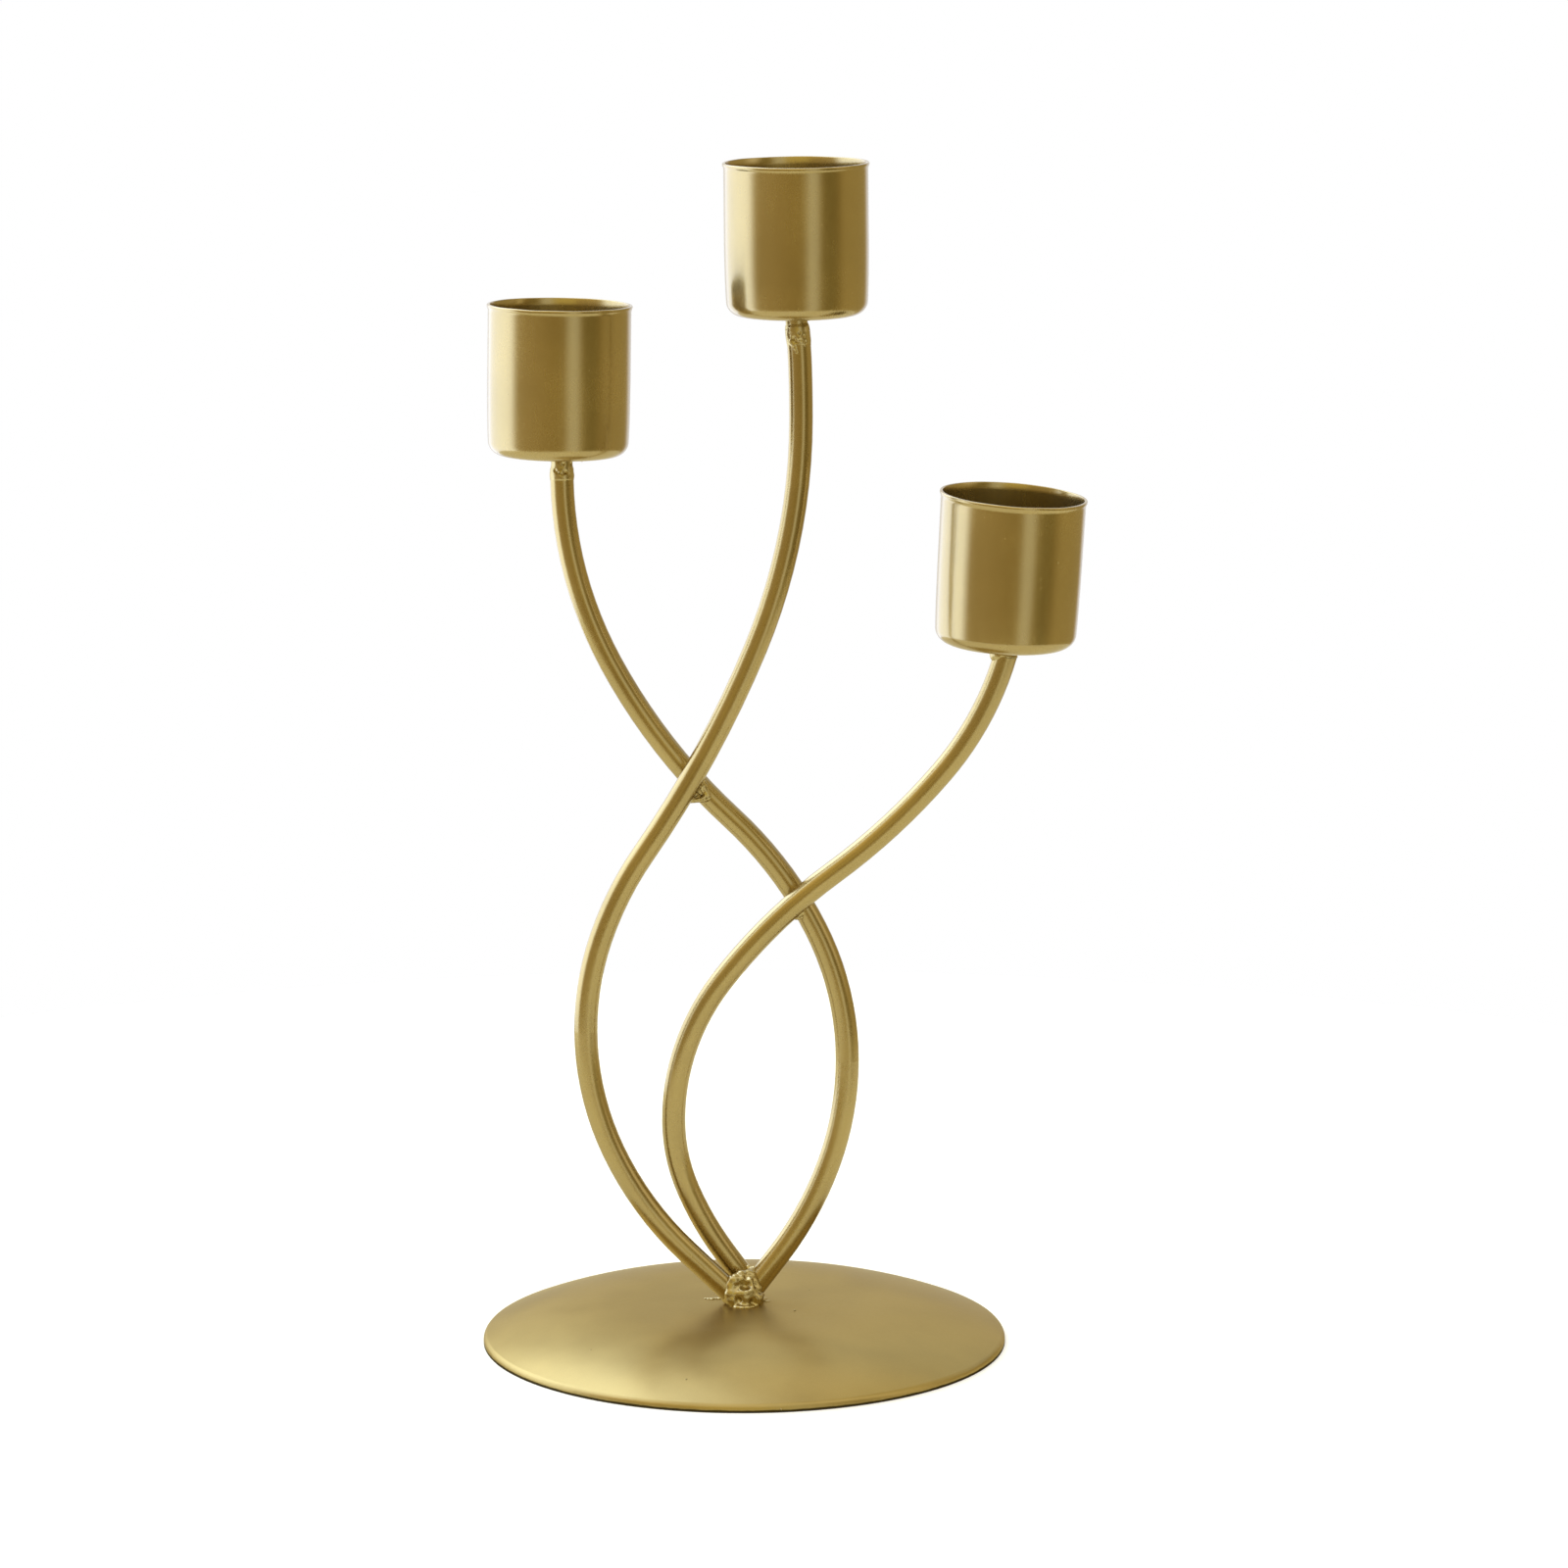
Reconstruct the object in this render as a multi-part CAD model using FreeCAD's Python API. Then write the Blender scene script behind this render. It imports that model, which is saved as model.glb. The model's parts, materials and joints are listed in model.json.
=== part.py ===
import FreeCAD, Part
import collections
import math
import os

# A table candelabra for three taper candles, in millimetres.
# Three round wires rise from one lump of weld in the middle of a pressed round base.  Each wire is
# bent in a flat plane of its own that stands nearly upright.  The wires pass one in front of the
# other, touch where they cross, are welded there, and each ends under a drawn candle cup.
# +X is to the right, +Y is away from the viewer and +Z is up.
# The origin is the middle of the base, on the table.

# Candle cups
CANDLE_D = 22.0
CANDLE_PLAY = 0.65
CUP_WALL = 0.45
CUP_HEIGHT = 25.4
CUP_STRAIGHT = 16.0
CUP_DRAW_IN = 0.35
CUP_INNER_CORNER = 1.75
LIP_HEIGHT = 0.7
LIP_PROUD = 0.32

# How far each cup's middle lies to the right of its wire's tip
LEFT_CUP_SHIFT = -0.6
CENTRE_CUP_SHIFT = 0.2
RIGHT_CUP_SHIFT = -0.6

# Lean of each cup, in degrees: to the right, and towards the viewer
LEFT_CUP_RIGHT_ANGLE = 1.0
LEFT_CUP_FORWARD_ANGLE = 0.0
CENTRE_CUP_RIGHT_ANGLE = -0.6
CENTRE_CUP_FORWARD_ANGLE = 0.9
RIGHT_CUP_RIGHT_ANGLE = 2.8
RIGHT_CUP_FORWARD_ANGLE = 2.5

# Pressed sheet base: a dome that is nearly flat around its crown and falls faster to its brim.
# The crown's arc ends at FLAT_R, having dropped by FLAT_DROP.
BASE_D = 90.0
BASE_SHEET = 1.0
BASE_CROWN = 6.8
BASE_FLAT_R = 20.0
BASE_FLAT_DROP = 0.18
BASE_BRIM = 1.15
BASE_BRIM_ROUND = 1.1

# Wire, and the gap left between two wires that touch
WIRE_D = 4.0
TOUCH_GAP = 0.06

# Main sizes of the three arms, whose tips lie on their cups' undersides: the height of the highest
# tip above the table, and the distance across from the left tip to the right one
ARM_HEIGHT = 177.1
ARM_SPREAD = 75.25

# Stations of each wire, from the lowest bend up.  X is how far a station lies to the right of the
# base's middle, and UP is its height above the table with the wire's plane upright.  The lowest
# bend has sizes of its own, so that the foot stays as it is under taller or wider arms; above it,
# X is a share of the spread and UP a share of the arms' height.  HEADING is in degrees to the
# right of straight up as the wire climbs.
LEFT_BEND_X = 6.05
LEFT_BEND_UP = 15.0
LEFT_BEND_HEADING = 36.8
LEFT_BELLY_X_SHARE = 0.2352
LEFT_BELLY_UP_SHARE = 0.2764
LEFT_WAIST_X_SHARE = -0.0279
LEFT_WAIST_UP_SHARE = 0.5141
LEFT_WAIST_HEADING = -47.0
LEFT_TIP_X_SHARE = -0.4073
LEFT_TIP_UP_SHARE = 0.8639
# Straight upright neck of the left wire, below its cup
LEFT_NECK = 3.1

CENTRE_BEND_X = -9.85
CENTRE_BEND_UP = 16.0
CENTRE_BEND_HEADING = -45.9
CENTRE_BELLY_X_SHARE = -0.3588
CENTRE_BELLY_UP_SHARE = 0.3091
CENTRE_WAIST_X_SHARE = -0.2259
CENTRE_WAIST_UP_SHARE = 0.4828
CENTRE_WAIST_HEADING = 34.4
CENTRE_SHOULDER_X_SHARE = 0.1289
CENTRE_SHOULDER_UP_SHARE = 0.9006
CENTRE_TIP_X_SHARE = 0.1176
CENTRE_TIP_UP_SHARE = 1.0
CENTRE_TIP_HEADING = -7.2

RIGHT_BEND_X = -3.45
RIGHT_BEND_UP = 15.0
RIGHT_BEND_HEADING = -35.4
RIGHT_BELLY_X_SHARE = -0.1608
RIGHT_BELLY_UP_SHARE = 0.2180
RIGHT_WAIST_X_SHARE = 0.2020
RIGHT_WAIST_UP_SHARE = 0.4658
RIGHT_WAIST_HEADING = 52.9
RIGHT_TIP_X_SHARE = 0.5927
RIGHT_TIP_UP_SHARE = 0.6903
RIGHT_TIP_HEADING = 13.2

# How high above the base's crown each wire's straight root ends, inside the weld, as a share of
# the wire's diameter
LEFT_ROOT_UP_SHARE = 0.45
CENTRE_ROOT_UP_SHARE = 0.39
RIGHT_ROOT_UP_SHARE = 0.90

# The left wire stands in the middle and leans back, in degrees; the other two stand before and
# behind it at the foot, by a share of the wire's diameter, and lean so that they touch its front
# where they cross it
LEFT_LEAN_ANGLE = 1.72
FOOT_STAGGER_SHARE = 0.525

# Lump of weld at the foot: beads as shares of the wire's diameter, each with its place to the
# right, its place away from the viewer, its height above the base's crown and its radius
FOOT_BEAD_SHARES = [
    (0.00, -0.04, 0.34, 0.83),
    (-0.03, -0.48, 0.30, 0.78),
    (0.05, 0.44, 0.38, 0.74),
    (-0.37, -0.70, 0.42, 0.46),
    (0.42, -0.34, 0.20, 0.42),
    (0.14, 0.30, 0.92, 0.44),
]

# Weld webs in the lower corner of each crossing: how far the web runs down the two wires from
# the crossing, how far below the crossing its hollow edge lies, and its thickness
UPPER_WEB_RUN = 4.4
UPPER_WEB_DROP = 4.4
LOWER_WEB_RUN = 3.8
LOWER_WEB_DROP = 3.9
WEB_THICKNESS = 2.2
# How far from a wire's centre line the web's edge meets it, as a share of the wire's radius
WEB_REACH_SHARE = 0.55

# Weld between each wire's end and its cup: the height of the whole weld, and how far its lower
# part, the collar, stands proud of the wire
LEFT_WELD_HEIGHT = 4.2
CENTRE_WELD_HEIGHT = 5.0
RIGHT_WELD_HEIGHT = 2.0
COLLAR_PROUD = 0.12
# Under the cup the weld is a narrower stub: its height as a share of the weld's, and its width as
# a share of the wire's
LEFT_STUB_SHARE = 0.67
CENTRE_STUB_SHARE = 0.34
RIGHT_STUB_SHARE = 0.80
STUB_WIDTH_SHARE = 0.92

# How far cutting shapes and trimmed ends run past the surfaces they cut
OVERRUN = 3.0
# How close two values must be to count as the same
SNAP = 1e-4

UP = FreeCAD.Vector(0, 0, 1)
DOWN = FreeCAD.Vector(0, 0, -1)
RIGHT = FreeCAD.Vector(1, 0, 0)
LEFT = FreeCAD.Vector(-1, 0, 0)
AWAY = FreeCAD.Vector(0, 1, 0)
ORIGIN = FreeCAD.Vector(0, 0, 0)
UPRIGHT = 0

WIRE_R = WIRE_D / 2
FOOT_STAGGER = WIRE_D * FOOT_STAGGER_SHARE
BORE_R = CANDLE_D / 2 + CANDLE_PLAY
CUP_R = BORE_R + CUP_WALL
CUP_SHOULDER = CUP_HEIGHT - CUP_STRAIGHT


def flat(x, z):
    """A point of the upright plane that faces the viewer."""
    return FreeCAD.Vector(x, 0, z)


def line(start, end):
    return Part.LineSegment(start, end).toShape()


def arc_from(start, way, end):
    """The arc that leaves start along the unit vector way and ends at end."""
    chord = end - start
    along = FreeCAD.Vector(chord).normalize()
    side = way - along * way.dot(along)
    if side.Length < SNAP:
        return line(start, end)
    middle = (start + end) / 2 + side * (chord.Length / 2 / (1 + way.dot(along)))
    return Part.Arc(start, middle, end).toShape()


def arriving_way(start, way, end):
    """The way in which the arc that leaves start along way arrives at end."""
    along = (end - start).normalize()
    return along * (2 * way.dot(along)) - way


def revolved(edges):
    """The solid turned about the upright axis by a closed outline."""
    return Part.Face(Part.Wire(edges)).revolve(ORIGIN, UP, 360)


def ring_edges(shape, radius, height):
    """The edges of a turned shape that lie on one level circle about the upright axis."""
    found = []
    for edge in shape.Edges:
        box = edge.BoundBox
        level = abs(box.ZMin - height) < SNAP and abs(box.ZMax - height) < SNAP
        if level and abs(box.XMax - radius) < SNAP:
            found.append(edge)
    return found


def largest_solid(shape):
    """The one piece of a cut shape that counts, without loose slivers."""
    return max(shape.Solids, key=lambda solid: solid.Volume)


def cut_by(shape, tools):
    for tool in tools:
        shape = shape.cut(tool)
    return largest_solid(shape)


# Base


def base_dome():
    """The base's outside, solid right through, with its brim rounded."""
    radius = BASE_D / 2
    top = flat(0, BASE_CROWN)
    flat_end = flat(BASE_FLAT_R, BASE_CROWN - BASE_FLAT_DROP)
    brim = flat(radius, BASE_BRIM)
    dome = revolved([
        line(ORIGIN, flat(radius, 0)),
        line(flat(radius, 0), brim),
        arc_from(flat_end, arriving_way(top, RIGHT, flat_end), brim),
        arc_from(top, RIGHT, flat_end),
        line(top, ORIGIN),
    ])
    return dome.makeFillet(BASE_BRIM_ROUND, ring_edges(dome, radius, BASE_BRIM))


def base_plate():
    """The pressed sheet: the dome, hollowed by itself from one sheet lower and within its edge."""
    hollow = base_dome()
    hollow.translate(DOWN * BASE_SHEET)
    within = Part.makeCylinder(BASE_D / 2 - BASE_SHEET, BASE_CROWN + BASE_SHEET, DOWN * BASE_SHEET)
    return base_dome().cut(hollow.common(within))


# Candle cups


def cup():
    """One drawn cup with a small bead around its mouth, standing on the origin."""
    foot_radius = CUP_R - CUP_DRAW_IN
    inner_foot_radius = BORE_R - CUP_DRAW_IN
    under_lip = flat(CUP_R, CUP_HEIGHT - LIP_HEIGHT)
    lip_middle = flat(CUP_R + LIP_PROUD, CUP_HEIGHT - LIP_HEIGHT / 2)
    rim = flat(CUP_R, CUP_HEIGHT)
    shell = revolved([
        line(ORIGIN, flat(foot_radius, 0)),
        arc_from(flat(CUP_R, CUP_SHOULDER), DOWN, flat(foot_radius, 0)),
        line(flat(CUP_R, CUP_SHOULDER), under_lip),
        Part.Arc(under_lip, lip_middle, rim).toShape(),
        line(rim, flat(BORE_R, CUP_HEIGHT)),
        line(flat(BORE_R, CUP_HEIGHT), flat(BORE_R, CUP_SHOULDER)),
        arc_from(flat(BORE_R, CUP_SHOULDER), DOWN, flat(inner_foot_radius, CUP_WALL)),
        line(flat(inner_foot_radius, CUP_WALL), flat(0, CUP_WALL)),
        line(flat(0, CUP_WALL), ORIGIN),
    ])
    shell = shell.makeFillet(CUP_INNER_CORNER + CUP_WALL, ring_edges(shell, foot_radius, 0))
    return shell.makeFillet(CUP_INNER_CORNER, ring_edges(shell, inner_foot_radius, CUP_WALL))


def cup_space():
    """The space that a cup takes above the flat of its underside, which trims what ends there."""
    return Part.makeCylinder(CUP_R - CUP_DRAW_IN, CUP_HEIGHT)


def cup_placement(tip, shift, right, forward):
    """Where a cup stands: its middle beside the wire's tip, leaning right and forward."""
    sideways = FreeCAD.Rotation(AWAY, right)
    towards = FreeCAD.Rotation(RIGHT, forward)
    return FreeCAD.Placement(tip + RIGHT * shift, towards.multiply(sideways))


def placed(shape, placement):
    """A copy of a shape that is drawn about the origin, at its place."""
    copy = shape.copy()
    copy.Placement = placement.multiply(copy.Placement)
    return copy


# Wires


def heading_way(heading):
    """The unit vector of a heading in the flat plane, in degrees to the right of straight up."""
    turn = math.radians(heading)
    return flat(math.sin(turn), math.cos(turn))


def meeting_point(start, start_way, end, end_way):
    """Where two arcs of equal tangent length, one from each station, run into each other."""
    chord = end - start
    ways = start_way + end_way
    spread = 2 * (1 - start_way.dot(end_way))
    if spread < SNAP ** 2:
        reach = chord.dot(chord) / (4 * chord.dot(end_way))
    else:
        slack = chord.dot(ways) ** 2 + spread * chord.dot(chord)
        reach = (math.sqrt(slack) - chord.dot(ways)) / spread
    return (start + end + (start_way - end_way) * reach) / 2


def bend(lower, upper):
    """The two arcs that carry a wire from one station to the next without a kink."""
    start, end = flat(lower[0], lower[1]), flat(upper[0], upper[1])
    start_way, end_way = heading_way(lower[2]), heading_way(upper[2])
    meeting = meeting_point(start, start_way, end, end_way)
    way = arriving_way(start, start_way, meeting)
    return [arc_from(start, start_way, meeting), arc_from(meeting, way, end)]


def bends(stations):
    """All the arcs of a flat wire, from its lowest station to its tip."""
    edges = []
    for lower, upper in zip(stations, stations[1:]):
        edges += bend(lower, upper)
    return edges


def flat_wire(stations, root_up_share):
    """The round wire in its upright plane, with its straight root and an end to be trimmed."""
    first, last = stations[0], stations[-1]
    start, tip = flat(first[0], first[1]), flat(last[0], last[1])
    root_way = heading_way(first[2])
    bottom_up = BASE_CROWN + WIRE_D * root_up_share
    bottom = start - root_way * ((start.z - bottom_up) / root_way.z)
    above_tip = tip + heading_way(last[2]) * OVERRUN
    path = Part.Wire([line(bottom, start)] + bends(stations) + [line(tip, above_tip)])
    section = Part.Wire(Part.makeCircle(WIRE_R, bottom, root_way))
    return path.makePipeShell([section], True, False)


def crossing(stations, other_stations):
    """Where two flat wires cross above their bellies, and each one's way there."""
    path = Part.Wire(bends(stations[1:]))
    other_path = Part.Wire(bends(other_stations[1:]))
    distance, points, details = path.distToShape(other_path)
    kind, index, parameter, other_kind, other_index, other_parameter = details[0]
    way = path.Edges[index].tangentAt(parameter)
    other_way = other_path.Edges[other_index].tangentAt(other_parameter)
    return points[0][0], way, other_way


def wire_plane(foot_y, lean_back):
    """Stands a flat wire up at its own depth, and leans it back about the level of the crown."""
    turn = FreeCAD.Rotation(LEFT, lean_back)
    return FreeCAD.Placement(AWAY * foot_y, turn, flat(0, BASE_CROWN))


def lean_to_touch(foot_y, point, back_plane):
    """The lean, in degrees, that brings a wire against the front of another at a crossing."""
    depth = back_plane.multVec(point).y - WIRE_D - TOUCH_GAP
    return math.degrees(math.asin((depth - foot_y) / (point.z - BASE_CROWN)))


# Welds


def foot_beads(cutters):
    """The lump of weld that holds the three roots on the crown, less what it holds."""
    beads = []
    for right, away, height, radius in FOOT_BEAD_SHARES:
        middle = FreeCAD.Vector(right * WIRE_D, away * WIRE_D, BASE_CROWN + height * WIRE_D)
        beads.append(Part.makeSphere(radius * WIRE_D, middle))
    lump = beads[0].fuse(beads[1:])
    return cut_by(lump, cutters)


def web_corner(point, way, downhill, run):
    """Where the web's edge meets one wire: down the wire, and part of the way to its flank."""
    inward = (downhill - way * downhill.dot(way)).normalize()
    return point - way * run + inward * (WIRE_R * WEB_REACH_SHARE)


def crossing_web(meeting, run, drop, depth, cutters):
    """A web of weld in the lower corner of a crossing, hollow along its free edge."""
    point, way, other_way = meeting
    downhill = (way + other_way).normalize() * -1
    corner = web_corner(point, way, downhill, run)
    other_corner = web_corner(point, other_way, downhill, run)
    outline = Part.Wire([
        line(point, corner),
        Part.Arc(corner, point + downhill * drop, other_corner).toShape(),
        line(other_corner, point),
    ])
    web = Part.Face(outline).extrude(AWAY * WEB_THICKNESS)
    web.translate(AWAY * (depth - WEB_THICKNESS / 2))
    return cut_by(web, cutters)


def wire_below_tip(stations, depth):
    """Where the middle of a flat wire is, at a given depth below its tip."""
    tip_x, tip_up, tip_heading = stations[-1]
    level = line(flat(tip_x - BASE_D, tip_up - depth), flat(tip_x + BASE_D, tip_up - depth))
    distance, points, details = Part.Wire(bends(stations)).distToShape(level)
    return points[0][0]


def cup_weld(height, stub_share):
    """The weld on a wire's end, drawn about its tip: a collar, and a narrower stub above it."""
    stub = height * stub_share
    stub_radius = WIRE_R * STUB_WIDTH_SHARE
    lowest, shoulder = flat(WIRE_R, -height), flat(WIRE_R, -stub)
    bulge = flat(WIRE_R + COLLAR_PROUD, -(height + stub) / 2)
    return revolved([
        line(flat(0, -height), lowest),
        Part.Arc(lowest, bulge, shoulder).toShape(),
        line(shoulder, flat(stub_radius, -stub)),
        line(flat(stub_radius, -stub), flat(stub_radius, OVERRUN)),
        line(flat(stub_radius, OVERRUN), flat(0, OVERRUN)),
        line(flat(0, OVERRUN), flat(0, -height)),
    ])


def weld_space(height):
    """The space above the foot of such a weld, which trims the wire that ends there."""
    return Part.makeCylinder(WIRE_D, height + OVERRUN + WIRE_D, flat(0, -height))


# The three arms, each with the cup it carries

Arm = collections.namedtuple(
    "Arm", "stations root_up_share weld_height stub_share cup_shift cup_right cup_forward")


def station(x_share, up_share, heading):
    """A station of a wire above its lowest bend: its place in the flat plane, and its heading."""
    return x_share * ARM_SPREAD, up_share * ARM_HEIGHT, heading


def left_arm():
    """The wire that bellies out to the right and carries the left cup."""
    tip = station(LEFT_TIP_X_SHARE, LEFT_TIP_UP_SHARE, UPRIGHT)
    neck = (tip[0], tip[1] - LEFT_NECK, UPRIGHT)
    stations = [
        (LEFT_BEND_X, LEFT_BEND_UP, LEFT_BEND_HEADING),
        station(LEFT_BELLY_X_SHARE, LEFT_BELLY_UP_SHARE, UPRIGHT),
        station(LEFT_WAIST_X_SHARE, LEFT_WAIST_UP_SHARE, LEFT_WAIST_HEADING),
        neck,
        tip,
    ]
    return Arm(stations, LEFT_ROOT_UP_SHARE, LEFT_WELD_HEIGHT, LEFT_STUB_SHARE, LEFT_CUP_SHIFT,
               LEFT_CUP_RIGHT_ANGLE, LEFT_CUP_FORWARD_ANGLE)


def centre_arm():
    """The wire that bellies out furthest to the left and carries the highest cup."""
    stations = [
        (CENTRE_BEND_X, CENTRE_BEND_UP, CENTRE_BEND_HEADING),
        station(CENTRE_BELLY_X_SHARE, CENTRE_BELLY_UP_SHARE, UPRIGHT),
        station(CENTRE_WAIST_X_SHARE, CENTRE_WAIST_UP_SHARE, CENTRE_WAIST_HEADING),
        station(CENTRE_SHOULDER_X_SHARE, CENTRE_SHOULDER_UP_SHARE, UPRIGHT),
        station(CENTRE_TIP_X_SHARE, CENTRE_TIP_UP_SHARE, CENTRE_TIP_HEADING),
    ]
    return Arm(stations, CENTRE_ROOT_UP_SHARE, CENTRE_WELD_HEIGHT, CENTRE_STUB_SHARE, CENTRE_CUP_SHIFT,
               CENTRE_CUP_RIGHT_ANGLE, CENTRE_CUP_FORWARD_ANGLE)


def right_arm():
    """The wire that bellies out to the left, crosses low down and carries the right cup."""
    stations = [
        (RIGHT_BEND_X, RIGHT_BEND_UP, RIGHT_BEND_HEADING),
        station(RIGHT_BELLY_X_SHARE, RIGHT_BELLY_UP_SHARE, UPRIGHT),
        station(RIGHT_WAIST_X_SHARE, RIGHT_WAIST_UP_SHARE, RIGHT_WAIST_HEADING),
        station(RIGHT_TIP_X_SHARE, RIGHT_TIP_UP_SHARE, RIGHT_TIP_HEADING),
    ]
    return Arm(stations, RIGHT_ROOT_UP_SHARE, RIGHT_WELD_HEIGHT, RIGHT_STUB_SHARE, RIGHT_CUP_SHIFT,
               RIGHT_CUP_RIGHT_ANGLE, RIGHT_CUP_FORWARD_ANGLE)


def arm_with_cup(arm, plane, cutters):
    """A wire in its plane, the cup above its end, and the weld between them."""
    last = arm.stations[-1]
    tip = plane.multVec(flat(last[0], last[1]))
    below = plane.multVec(wire_below_tip(arm.stations, arm.weld_height))
    seat = cup_placement(tip, arm.cup_shift, arm.cup_right, arm.cup_forward)
    along_wire = FreeCAD.Placement(tip, FreeCAD.Rotation(UP, tip - below))
    end_trim = placed(weld_space(arm.weld_height), along_wire)
    wire = cut_by(placed(flat_wire(arm.stations, arm.root_up_share), plane), [end_trim] + cutters)
    weld = cut_by(placed(cup_weld(arm.weld_height, arm.stub_share), along_wire), [placed(cup_space(), seat)])
    print("cup stands at", [round(value, 2) for value in seat.Base], "leaning", seat.Rotation.multVec(UP))
    return wire, placed(cup(), seat), weld


def build():
    """Every piece, by name."""
    left, centre, right = left_arm(), centre_arm(), right_arm()
    upper_meeting = crossing(centre.stations, left.stations)
    lower_meeting = crossing(right.stations, left.stations)
    left_plane = wire_plane(0, LEFT_LEAN_ANGLE)
    centre_lean = lean_to_touch(-FOOT_STAGGER, upper_meeting[0], left_plane)
    right_lean = lean_to_touch(FOOT_STAGGER, lower_meeting[0], left_plane)
    centre_plane = wire_plane(-FOOT_STAGGER, centre_lean)
    right_plane = wire_plane(FOOT_STAGGER, right_lean)
    # The roots run into one another in the weld, so each is cut back by those placed before it
    dome = base_dome()
    left_wire, left_cup, left_weld = arm_with_cup(left, left_plane, [dome])
    right_wire, right_cup, right_weld = arm_with_cup(right, right_plane, [dome, left_wire])
    centre_wire, centre_cup, centre_weld = arm_with_cup(centre, centre_plane, [dome, left_wire, right_wire])
    wires = [left_wire, centre_wire, right_wire]
    # Each web lies half way between the two wires that it joins
    touch = (WIRE_D + TOUCH_GAP) / 2
    upper_depth = left_plane.multVec(upper_meeting[0]).y - touch
    lower_depth = left_plane.multVec(lower_meeting[0]).y - touch
    print("crossings at", upper_meeting[0], upper_depth, lower_meeting[0], lower_depth)
    return {
        "base_plate": base_plate(),
        "base_weld": foot_beads([dome] + wires),
        "left_arm": left_wire,
        "centre_arm": centre_wire,
        "right_arm": right_wire,
        "left_cup": left_cup,
        "centre_cup": centre_cup,
        "right_cup": right_cup,
        "left_cup_weld": left_weld,
        "centre_cup_weld": centre_weld,
        "right_cup_weld": right_weld,
        "upper_crossing_weld": crossing_web(upper_meeting, UPPER_WEB_RUN, UPPER_WEB_DROP, upper_depth, wires),
        "lower_crossing_weld": crossing_web(lower_meeting, LOWER_WEB_RUN, LOWER_WEB_DROP, lower_depth, wires),
    }


def main():
    os.makedirs("parts", exist_ok=True)
    for name, shape in build().items():
        shape.exportStep("parts/" + name + ".step")
        print(name, len(shape.Solids), "solid, volume", round(shape.Volume, 1), "valid", shape.isValid())


main()
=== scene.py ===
import json
import math

import bmesh
import bpy
from bpy.props import FloatProperty, FloatVectorProperty, IntProperty, PointerProperty
from mathutils import Matrix, Vector, noise


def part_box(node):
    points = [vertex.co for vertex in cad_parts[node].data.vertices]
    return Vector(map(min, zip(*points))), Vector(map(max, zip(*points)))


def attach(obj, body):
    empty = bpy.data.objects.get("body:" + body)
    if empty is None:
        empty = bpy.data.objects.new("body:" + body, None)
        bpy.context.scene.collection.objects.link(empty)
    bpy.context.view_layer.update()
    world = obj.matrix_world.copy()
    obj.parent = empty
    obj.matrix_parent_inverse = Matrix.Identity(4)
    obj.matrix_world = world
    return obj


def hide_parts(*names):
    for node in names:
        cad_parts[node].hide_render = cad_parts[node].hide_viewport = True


bl_info = {
    "name": "Wire Candelabra",
    "version": (1, 0, 0),
    "blender": (4, 5, 0),
    "location": "3D Viewport > Sidebar > Candelabra",
    "description": "Dresses a welded wire candelabra in satin gold and sets its studio",
    "category": "Object",
}

# The frame stands in metres.  +X is to the right, +Y away from the viewer and +Z up, and the
# origin is the middle of the base, on the table.
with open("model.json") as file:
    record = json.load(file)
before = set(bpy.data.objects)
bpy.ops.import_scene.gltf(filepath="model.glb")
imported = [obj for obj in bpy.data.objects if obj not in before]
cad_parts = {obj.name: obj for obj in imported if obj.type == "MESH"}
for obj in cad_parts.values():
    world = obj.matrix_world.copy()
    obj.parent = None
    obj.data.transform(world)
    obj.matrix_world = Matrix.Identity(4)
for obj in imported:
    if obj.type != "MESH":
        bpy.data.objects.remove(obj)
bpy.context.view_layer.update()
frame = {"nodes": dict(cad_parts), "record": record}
MM = 0.001
UP = Vector((0, 0, 1))
# The height of the middle of the base, where the wires stand
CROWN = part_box("base_plate")[1].z
# Points closer together than this are one
MERGE = 0.002 * MM


# Settings


class GoldSettings(bpy.types.PropertyGroup):
    """The gold paint and how satin it lies on each kind of piece."""

    gold: FloatVectorProperty(
        name="Gold", description="Colour of the gold paint", subtype="COLOR", size=3,
        min=0, max=1, default=(0.42, 0.315, 0.118),
    )
    # Painted sheen: the weld paint is a paler copy of the gold, for the bright window that the lumps mirror
    weld: FloatVectorProperty(
        name="Weld", description="Colour of the paint over the welds", subtype="COLOR", size=3,
        min=0, max=1, default=(0.47, 0.375, 0.17),
    )
    edge: FloatVectorProperty(
        name="Grazing tint", description="Tint of the paint where it is seen edge-on",
        subtype="COLOR", size=3, min=0, max=1, default=(0.58, 0.5, 0.38),
    )
    base_roughness: FloatProperty(
        name="Base roughness", description="Satin spray on the pressed base", subtype="FACTOR",
        min=0, max=1, default=0.33,
    )
    wire_roughness: FloatProperty(
        name="Wire roughness", description="Paint on the drawn wires", subtype="FACTOR",
        min=0, max=1, default=0.27,
    )
    cup_roughness: FloatProperty(
        name="Cup roughness", description="Paint on the polished cups", subtype="FACTOR",
        min=0, max=1, default=0.25,
    )
    weld_roughness: FloatProperty(
        name="Weld roughness", description="Paint pooled over the welds", subtype="FACTOR",
        min=0, max=1, default=0.27,
    )
    # Painted shade: how high the dark band painted at the foot of the brim reaches
    brim_shade_height: FloatProperty(
        name="Sheared edge", description="Height of the dark sheared edge under the base's brim",
        unit="LENGTH", min=0, default=0.47 * MM,
    )


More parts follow.
